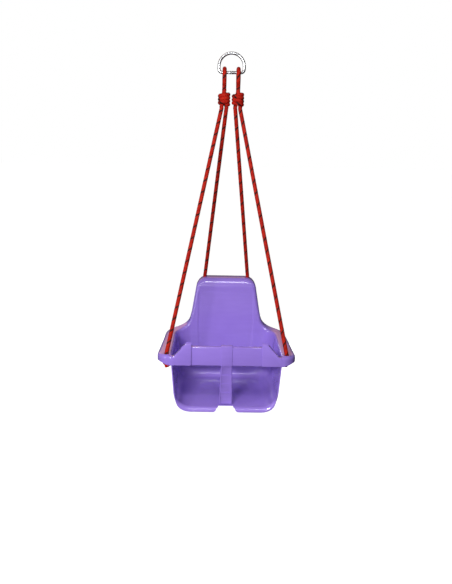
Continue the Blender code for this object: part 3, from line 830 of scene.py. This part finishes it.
def ribs(name, tree, ids, count, first, step, size):
    piece = link(name, bpy.data.meshes.new(name))
    mod = piece.modifiers.new("ribs", "NODES")
    mod.node_group = tree
    for label, value in (("Count", count), ("First", first), ("Step", step), ("Size", size),
                         ("Material", guardPlastic)):
        mod[ids[label]] = value
    return settle(piece)


def makeGuard():
    front, depth = guard["recess"], guard["depth"]
    back = front + depth
    gap = stubs["gap"]
    half = stubs["inner"] - 2 * gap
    low, high = -shell["skirt"], guard["top"]
    wall = guard["wall"]
    piece = slab("frontGuard", [(-half, low), (half, low), (half, high), (-half, high)], front, back,
                 edge=guard["edge"], segments=4)
    for sign in (1, -1):
        lowX, highX = sorted((sign * (half - 0.004), sign * (stubs["inner"] + stubs["tongue"])))
        cut(piece, box("tongue", (lowX, front + 0.0003, wall + low + gap + 0.0002),
                       (highX, back - 0.0002, high - 0.0003), edge=0.0006), "UNION")
    strap = guard["strapHalf"]
    cut(piece, slab("strap", [(-strap, low + 0.0005), (strap, low + 0.0005),
                              (strap, high + guard["strapRise"], 0.003),
                              (-strap, high + guard["strapRise"], 0.003)],
                    front - guard["strapProud"], back - 0.0004, edge=0.0011, segments=3), "UNION")
    foot = shell["pan"] + gap
    postFront, postBack = front + 0.0016, back + 0.0004
    top = low + 0.006
    cut(piece, slab("post", [(-guard["postFoot"], foot), (guard["postFoot"], foot), (guard["postTop"], top),
                             (-guard["postTop"], top)], postFront, postBack, (low, guard["lean"]),
                    edge=0.0024, segments=4), "UNION")
    side = guard["postRim"]
    dish = [(-guard["postFoot"] + side, foot + 0.004), (guard["postFoot"] - side, foot + 0.004),
            (guard["postTop"] - side, low - 0.003), (-guard["postTop"] + side, low - 0.003)]
    cut(piece, slab("postDish", dish, postFront - 0.01, postFront + guard["postDish"], (low, guard["lean"]),
                    edge=0.0006, segments=2), "DIFFERENCE")
    tab = guard["postFoot"] - guard["footInset"]
    cut(piece, box("footTab", (-tab, holes["slotFront"] + 0.0004, shell["pan"] - guard["footDrop"]),
                   (tab, holes["slotBack"] - 0.0004, shell["pan"] + 0.008), edge=0.0005), "UNION")

    # the channel's hollow, then the ribs across it
    inner = half - wall
    cut(piece, box("barHollow", (-inner, front + wall, low + wall), (inner, back + 0.01, high - wall),
                   edge=0.0008), "DIFFERENCE")
    lean = guard["lean"]
    hollowLow, hollowHigh = foot + guard["solidFoot"], low - guard["rib"]
    widths = [lerp(guard["postFoot"], guard["postTop"], (z - foot) / (low - foot)) - wall
              for z in (hollowLow, hollowHigh)]
    outline = [(-widths[0], hollowLow), (widths[0], hollowLow),
               (widths[1], hollowHigh), (-widths[1], hollowHigh)]
    cut(piece, slab("postHollow", outline, postFront + wall + guard["postDish"], back + 0.01, (low, lean),
                    edge=0.0008, segments=2), "DIFFERENCE")
    tree, ids = ribTree()
    pitch = (2 * inner + guard["rib"]) / guard["barCells"]
    ribDeep = back - 0.0012 - front - wall / 2
    firstRib = seatPoint(-inner + pitch - guard["rib"] / 2, front + (wall + ribDeep) / 2, (low + high) / 2)
    cut(piece, ribs("barRibs", tree, ids, guard["barCells"] - 1, firstRib,
                    (pitch, 0, 0), (guard["rib"], ribDeep, high - low - wall)), "UNION")
    drop = (hollowHigh - hollowLow) / guard["postCells"]
    first = hollowHigh - drop
    postDeep = postBack - postFront - wall / 2 - 0.0012
    cut(piece, ribs("postRibs", tree, ids, guard["postCells"] - 1,
                    seatPoint(0, postFront + wall / 2 + postDeep / 2 + (low - first) * lean, first),
                    (0, drop * lean, -drop), (2 * widths[1] + wall, postDeep, guard["rib"])), "UNION")
    finishMesh(piece, guardPlastic)
    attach(piece, "guard")
    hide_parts("front_guard")
    return piece


makeGuard()
print("front guard made")


# Rope: a braided tube swept along a path, with two strand families woven over each other

rope = {
    "diameter": 0.011, "strands": 8, "pitch": 0.032, "relief": 0.00042, "rowStep": 0.00105, "sides": 32,
    "eyeRadius": 0.022, "eyeX": 0.01875, "eyeLeg": 0.006, "knotTop": -0.052, "knotLength": 0.036,
    "frontExit": (0.0065, -0.003), "rearExit": (-0.0065, 0.003), "tailIn": 0.016,
    "tracerLanes": 1.4, "rearSeat": 0.1485, "frontLift": 0.006, "rearLift": 0.0125,
    "shares": (0.04, 0.25, 0.5, 0.75, 0.96),
}


def sweptTree():
    # a tube along a path; strands of 0 leave it plain
    tree, ids = makeTree("sweptRope", {
        "Geometry": "Geometry", "Rows": "Int", "Sides": "Int", "Length": "Float", "Diameter": "Float",
        "Strands": "Float", "Pitch": "Float", "Relief": "Float", "Cap": "Float", "Material": "Material"})
    graph = Graph(tree)
    given = graph.add("NodeGroupInput")
    line = graph.add("GeometryNodeMeshToCurve", values={0: given["Geometry"]})
    sheet = graph.add("GeometryNodeMeshGrid", values={"Size X": 1.0, "Size Y": 1.0,
                                                      "Vertices X": given["Rows"],
                                                      "Vertices Y": given["Sides"] + 1})
    spot = graph.add("ShaderNodeSeparateXYZ", values={0: graph.add("GeometryNodeInputPosition")[0]})
    along = spot["X"] + 0.5
    around = spot["Y"] + 0.5
    sample = graph.add("GeometryNodeSampleCurve", {"mode": "FACTOR"}, {"Curves": line[0], "Factor": along})
    metres = along * given["Length"]
    turns = metres / given["Pitch"]
    across = [given["Strands"] * (around + turns), given["Strands"] * (around - turns)]
    cells = [a.does("FLOOR") for a in across]
    inside = [a - c for a, c in zip(across, cells)]
    order = (cells[0] + cells[1]) / 4
    order = (order - order.does("FLOOR")) * 4
    firstOver = order.does("LESS_THAN", 1.5)

    def crown(width, progress):
        hump = (width * pi).does("SINE").does("MAXIMUM", 0.0) ** 0.6
        return hump * (0.55 + 0.45 * (progress * pi).does("SINE").does("MAXIMUM", 0.0))

    upper = crown(inside[0], (order + inside[1]) / 2)
    lower = crown(inside[1], (order - 2 + inside[0]) / 2)
    height = (lower + firstOver * (upper - lower) - 0.55) * given["Relief"]
    nearEnd = metres.does("MINIMUM", given["Length"] - metres)
    t = (nearEnd / given["Cap"]).does("MINIMUM", 1.0).does("MAXIMUM", 0.0)
    taper = (t * (2 - t)).does("SQRT")
    radius = (given["Diameter"] / 2 + height) * taper
    angle = around * (2 * pi)
    side = graph.add("ShaderNodeVectorMath", {"operation": "CROSS_PRODUCT"},
                     {0: sample["Tangent"], 1: sample["Normal"]})[0]

    def scaled(vector, factor):
        return graph.add("ShaderNodeVectorMath", {"operation": "SCALE"}, {0: vector, "Scale": factor})[0]

    def added(a, b):
        return graph.add("ShaderNodeVectorMath", {"operation": "ADD"}, {0: a, 1: b})[0]

    place = added(sample["Position"], added(scaled(sample["Normal"], angle.does("COSINE") * radius),
                                            scaled(side, angle.does("SINE") * radius)))
    laid = graph.add("ShaderNodeCombineXYZ", values={0: metres, 1: around})
    kept = graph.add("GeometryNodeStoreNamedAttribute", {"data_type": "FLOAT2", "domain": "CORNER"},
                     {"Geometry": sheet["Mesh"], "Name": "braid"})
    kept.node.inputs["Value"].default_value = (0, 0, 0)
    tree.links.new(laid[0].socket, kept.node.inputs["Value"])
    bent = graph.add("GeometryNodeSetPosition", values={"Geometry": kept[0], "Position": place})
    joined = graph.add("GeometryNodeMergeByDistance", values={"Geometry": bent[0], "Distance": 0.00001})
    smooth = graph.add("GeometryNodeSetShadeSmooth", values={"Geometry": joined[0]})
    real = graph.add("GeometryNodeRealizeInstances", values={0: smooth[0]})
    painted = graph.add("GeometryNodeSetMaterial", values={"Geometry": real[0],
                                                           "Material": given["Material"]})
    graph.add("NodeGroupOutput", values={0: painted[0]})
    return tree, ids


sweeper, sweeperIds = sweptTree()


def pathLength(points):
    return sum((b - a).length for a, b in zip(points, points[1:]))


def swept(name, points, material, diameter, strands=0.0, relief=0.0, rowStep=None, sides=None, cap=None):
    mesh = bpy.data.meshes.new(name)
    mesh.from_pydata(points, [(i, i + 1) for i in range(len(points) - 1)], [])
    piece = link(name, mesh)
    length = pathLength(points)
    mod = piece.modifiers.new("sweep", "NODES")
    mod.node_group = sweeper
    values = {"Rows": round(length / (rowStep or rope["rowStep"])), "Sides": sides or rope["sides"],
              "Length": length, "Diameter": diameter, "Strands": float(strands),
              "Pitch": rope["pitch"], "Relief": relief, "Cap": cap or diameter * 0.35,
              "Material": material}
    for label, value in values.items():
        mod[sweeperIds[label]] = value
    settle(piece)
    bm = bmesh.new()
    bm.from_mesh(piece.data)
    if bm.calc_volume(signed=True) < 0:
        bmesh.ops.reverse_faces(bm, faces=bm.faces)
    bm.to_mesh(piece.data)
    bm.free()
    return piece


def smoothRoute(route, spacing):
    # evenly spaced points on a Catmull-Rom curve through the route's own points
    ends = [route[0] * 2 - route[1]] + route + [route[-1] * 2 - route[-2]]
    fine = []
    for i in range(1, len(ends) - 2):
        a, b, c, d = ends[i - 1:i + 3]
        for k in range(24):
            t = k / 24
            fine.append(0.5 * (2 * b + (c - a) * t + (2 * a - 5 * b + 4 * c - d) * t * t
                               + (3 * b - a - 3 * c + d) * t * t * t))
    fine.append(route[-1])
    total = pathLength(fine)
    count = max(round(total / spacing), 2)
    points = [fine[0]]
    walked = 0.0
    for p, q in zip(fine, fine[1:]):
        step = (q - p).length
        while len(points) < count and walked + step >= total * len(points) / count:
            points.append(p.lerp(q, (total * len(points) / count - walked) / step))
        walked += step
    points.append(fine[-1])
    return points


def eyeRoute(x):
    # a teardrop over the bar, in the plane across it
    radius, leg = rope["eyeRadius"], rope["eyeLeg"]
    crest = hanging["ringWire"] / 2 + 0.0003 + rope["diameter"] / 2
    centre = crest - radius
    base = rope["knotTop"] + 0.0033
    flare = atan2(radius - leg, centre - base) * 2
    bend = (centre - base) / (2 * sin(flare))
    up = []
    for k in range(5):
        a = flare * k / 4
        up.append((leg + bend * (1 - cos(a)), base + bend * sin(a)))
    for k in range(3, 0, -1):
        a = flare * k / 4
        up.append((radius - bend * (1 - cos(a)), centre - bend * sin(a)))
    bow = [(radius * cos(pi * k / 12), centre + radius * sin(pi * k / 12)) for k in range(13)]
    down = [(-y, z) for y, z in reversed(up)]
    return [barAxis + Vector((x, -y, z)) for y, z in up + bow + down]


def legRoute(side, hole, level, lift, aside):
    # from inside the knot under the flange, up through the hole and straight to the eye knot
    low = seatPoint(side * hole[0], hole[1], level - shell["wall"])
    first = low + Vector((0, 0, lift))
    knot = barAxis + Vector((side * (rope["eyeX"] + aside[0]), aside[1],
                             rope["knotTop"] - rope["knotLength"]))
    last = knot - Vector((0, 0, 0.006))
    run = last - first
    inside = low - Vector((0, 0, rope["tailIn"]))
    return [inside, low, first] + [first + run * t for t in rope["shares"]] + [last, knot]


def ropeCord(name):
    material = bpy.data.materials.new(name)
    material.use_nodes = True
    graph = Graph(material.node_tree)
    shader = material.node_tree.nodes["Principled BSDF"]
    laid = graph.add("ShaderNodeSeparateXYZ",
                     values={0: graph.add("ShaderNodeUVMap", {"uv_map": "braid"})[0]})
    metres, around = laid["X"], laid["Y"]
    turns = metres / rope["pitch"]
    across = [rope["strands"] * (around + turns), rope["strands"] * (around - turns)]
    cells = [a.does("FLOOR") for a in across]
    inside = [a - c for a, c in zip(across, cells)]
    order = (cells[0] + cells[1]) / 4
    order = (order - order.does("FLOOR")) * 4
    firstOver = order.does("LESS_THAN", 1.5)
    lane = across[1] / rope["strands"]
    away = ((lane - lane.does("FLOOR")) * rope["strands"] - 0.75).does("ABSOLUTE")
    marked = away.does("LESS_THAN", rope["tracerLanes"] / 2)
    shown = marked * (1 - firstOver * 0.15)
    strand = inside[0] * firstOver + inside[1] * (1 - firstOver)
    # groove is 1 at the strands' edges: it paints shade into the creases between strands and makes them
    # rougher
    groove = ((strand - 0.5).does("ABSOLUTE") * 2) ** 3
    place = graph.add("ShaderNodeTexCoord")["Object"]
    wear = graph.add("ShaderNodeTexNoise", values={"Vector": place, "Scale": 90.0, "Detail": 3.0})["Fac"]
    stops = [(0.30, (0.36, 0.007, 0.004)), (0.72, (0.55, 0.020, 0.007))]
    red = graph.add("ShaderNodeValToRGB", {"stops": stops}, {0: wear})["Color"]
    dark = (0.035, 0.008, 0.006, 1)
    inked = graph.add("ShaderNodeMix", {"data_type": "RGBA"}, {"Factor": shown, 6: red, 7: dark})[2]
    # painted shade: the base colour multiplied darker in the grooves between strands
    paintedGrooveShade = graph.add("ShaderNodeMix", {"data_type": "RGBA", "blend_type": "MULTIPLY"},
                      {"Factor": groove * 0.55, 6: inked, 7: (0.30, 0.16, 0.14, 1)})[2]
    fibre = (inside[0] * firstOver * 9 + inside[1] * (1 - firstOver) * 9) * (2 * pi)
    thread = fibre.does("SINE") * 0.5 + 0.5
    bump = graph.add("ShaderNodeBump", values={"Strength": 0.5, "Distance": 0.0002, "Height": thread})
    wires = {"Base Color": paintedGrooveShade, "Roughness": 0.55 + groove * 0.3 + wear * 0.1, "Normal": bump[0]}
    for socket, wire in wires.items():
        material.node_tree.links.new(wire.socket, shader.inputs[socket])
    shader.inputs["Specular IOR Level"].default_value = 0.12
    return material


ropeRed = ropeCord("ropeRed")
knotRed = ropeCord("knotRed")

knots = {
    "wrapWidth": 0.0080, "wrapPitch": 0.0078, "wrapRadius": 0.0060, "rideOut": 0.0034,
    "wrapTurns": {"FrontLeft": 3.25, "FrontRight": 2, "RearLeft": 2, "RearRight": 2},
    "tails": {"FrontLeft": 0.0005, "FrontRight": 0.006, "RearLeft": 0.012, "RearRight": 0.012},
    "outward": 0.5, "eyeTurns": 3, "eyeWrapRadius": 0.0114, "eyeTuck": 0.62,
}


def stopperRoute(centre, turnFrom, side, turns, tail):
    # wraps round the rope, one strand riding over them, and a tail
    wrap = knots["wrapRadius"]
    width = knots["wrapWidth"]
    points = [centre + Vector((0, 0, -width * 0.45))]
    steps = 20
    count = round(steps * turns)
    for k in range(count + 1):
        a = turnFrom + side * 2 * pi * k / steps
        out = wrap * ease(-0.2, 0.35, k / steps)
        z = -width * 0.55 - knots["wrapPitch"] * k / steps
        points.append(centre + Vector((out * cos(a), out * sin(a), z)))
    low = -width * 0.55 - knots["wrapPitch"] * turns
    for k in range(1, 9):
        t = k / 8
        a = turnFrom + side * (0.9 * t)
        out = wrap + knots["rideOut"] * sin(pi * min(t * 1.1, 1))
        points.append(centre + Vector((out * cos(a), out * sin(a), lerp(low, -width * 0.7, t))))
    for k in range(1, 7):
        t = k / 6
        a = turnFrom + side * (0.9 + 1.4 * t)
        out = lerp(wrap, 0.0012, t)
        points.append(centre + Vector((out * cos(a), out * sin(a), lerp(-width * 0.7, low * 0.95, t))))
    points.append(centre + Vector((0, 0, low - 0.004)))
    points.append(centre + Vector((0, 0, low - 0.004 - tail)))
    return points


def eyeKnotRoute(centre, side):
    # full wraps round the rope's two parts, the ends tucked in
    points = []
    steps = 24
    count = steps * knots["eyeTurns"]
    inset = rope["diameter"] / 2 - 0.0005
    for k in range(-4, count + 5):
        a = side * 2 * pi * k / steps
        inwards = ease(0, 5, max(-k, k - count))
        out = knots["eyeWrapRadius"] * (1 - knots["eyeTuck"] * inwards)
        z = lerp(-inset, -rope["knotLength"] + inset, min(max(k / count, 0.0), 1.0))
        points.append(centre + Vector((out * cos(a), out * sin(a), z)))
    return points


def makeRopes():
    sides = {"Left": -1, "Right": 1}
    for label, side in sides.items():
        node = label.lower()
        front = legRoute(side, holes["front"], 0, rope["frontLift"], rope["frontExit"])
        rear = legRoute(side, holes["rear"], rope["rearSeat"], rope["rearLift"], rope["rearExit"])
        eye = eyeRoute(side * rope["eyeX"])
        route = smoothRoute(front + eye + rear[::-1], 0.002)
        piece = swept("rope" + label, route, ropeRed, rope["diameter"], rope["strands"], rope["relief"])
        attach(piece, "seat")
        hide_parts("rope_front_" + node, "rope_rear_" + node, "eye_" + node)
        for place, hole, level in (("Front", holes["front"], 0), ("Rear", holes["rear"], rope["rearSeat"])):
            centre = seatPoint(side * hole[0], hole[1], level - shell["wall"] - 0.0006)
            key = place + label
            # the wraps end at the front and a little outwards
            turnFrom = side * knots["outward"] - pi / 2 - side * 2 * pi * knots["wrapTurns"][key]
            path = smoothRoute(stopperRoute(centre, turnFrom, side, knots["wrapTurns"][key],
                                            knots["tails"][key]), 0.0015)
            knot = swept("stopperKnot" + place + label, path, knotRed, knots["wrapWidth"], 8,
                         rope["relief"] * 0.7, sides=20, rowStep=0.0013)
            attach(knot, "seat")
            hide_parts("stopper_knot_" + place.lower() + "_" + node)
        centre = barAxis + Vector((side * rope["eyeX"], 0, rope["knotTop"]))
        path = smoothRoute(eyeKnotRoute(centre, side), 0.002)
        knot = swept("eyeKnot" + label, path, knotRed, rope["diameter"], rope["strands"], rope["relief"])
        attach(knot, "seat")
        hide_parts("eye_knot_" + node)
        pathLength(route)
        print("rope", node, "is", round(pathLength(route), 3), "m long")


makeRopes()


# Hanging ring

ring = {"bar": 0.050, "corner": 0.009, "legTop": 0.016, "weldLength": 0.007, "weldRise": 0.0006}


def galvanisedSteel():
    material = bpy.data.materials.new("ringSteel")
    material.use_nodes = True
    graph = Graph(material.node_tree)
    shader = material.node_tree.nodes["Principled BSDF"]
    place = graph.add("ShaderNodeTexCoord")["Object"]
    spangle = graph.add("ShaderNodeTexVoronoi", values={"Vector": place, "Scale": 260.0})["Color"]
    parts = graph.add("ShaderNodeSeparateXYZ", values={0: spangle})
    grain = graph.add("ShaderNodeTexNoise", values={"Vector": place, "Scale": 700.0, "Detail": 4.0})["Fac"]
    stops = [(0.2, (0.50, 0.51, 0.53)), (0.8, (0.68, 0.69, 0.71))]
    tone = graph.add("ShaderNodeValToRGB", {"stops": stops}, {0: parts["X"] * 0.6 + grain * 0.4})["Color"]
    bump = graph.add("ShaderNodeBump", values={"Strength": 0.2, "Distance": 0.0002, "Height": grain})
    wires = {"Base Color": tone, "Roughness": 0.26 + parts["Y"] * 0.12, "Normal": bump[0]}
    for socket, wire in wires.items():
        material.node_tree.links.new(wire.socket, shader.inputs[socket])
    shader.inputs["Metallic"].default_value = 1.0
    return material


ringSteel = galvanisedSteel()


def makeRing():
    bow = ring["bar"] / 2 + ring["corner"]
    half = [(0, 0)]
    for k in range(13):
        a = pi / 2 * k / 12
        half.append((ring["bar"] / 2 + ring["corner"] * sin(a), ring["corner"] * (1 - cos(a))))
    for k in range(25):
        a = pi / 2 * k / 24
        half.append((bow * cos(a), ring["legTop"] + bow * sin(a)))
    other = [(-x, z) for x, z in reversed(half[:-1])]
    points = [barAxis + Vector((x, 0, z)) for x, z in half + other]
    piece = swept("hangingRing", points, ringSteel, hanging["ringWire"], rowStep=0.0016, sides=24, cap=1e-9)
    for vert in piece.data.vertices:
        if vert.co.z < barAxis.z + ring["corner"]:
            near = 1 - ease(0, ring["weldLength"], abs(vert.co.x))
            away = vert.co - Vector((vert.co.x, barAxis.y, barAxis.z))
            vert.co += away.normalized() * ring["weldRise"] * near
    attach(piece, "ring")
    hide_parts("hanging_ring")


makeRing()
print("hanging ring made")
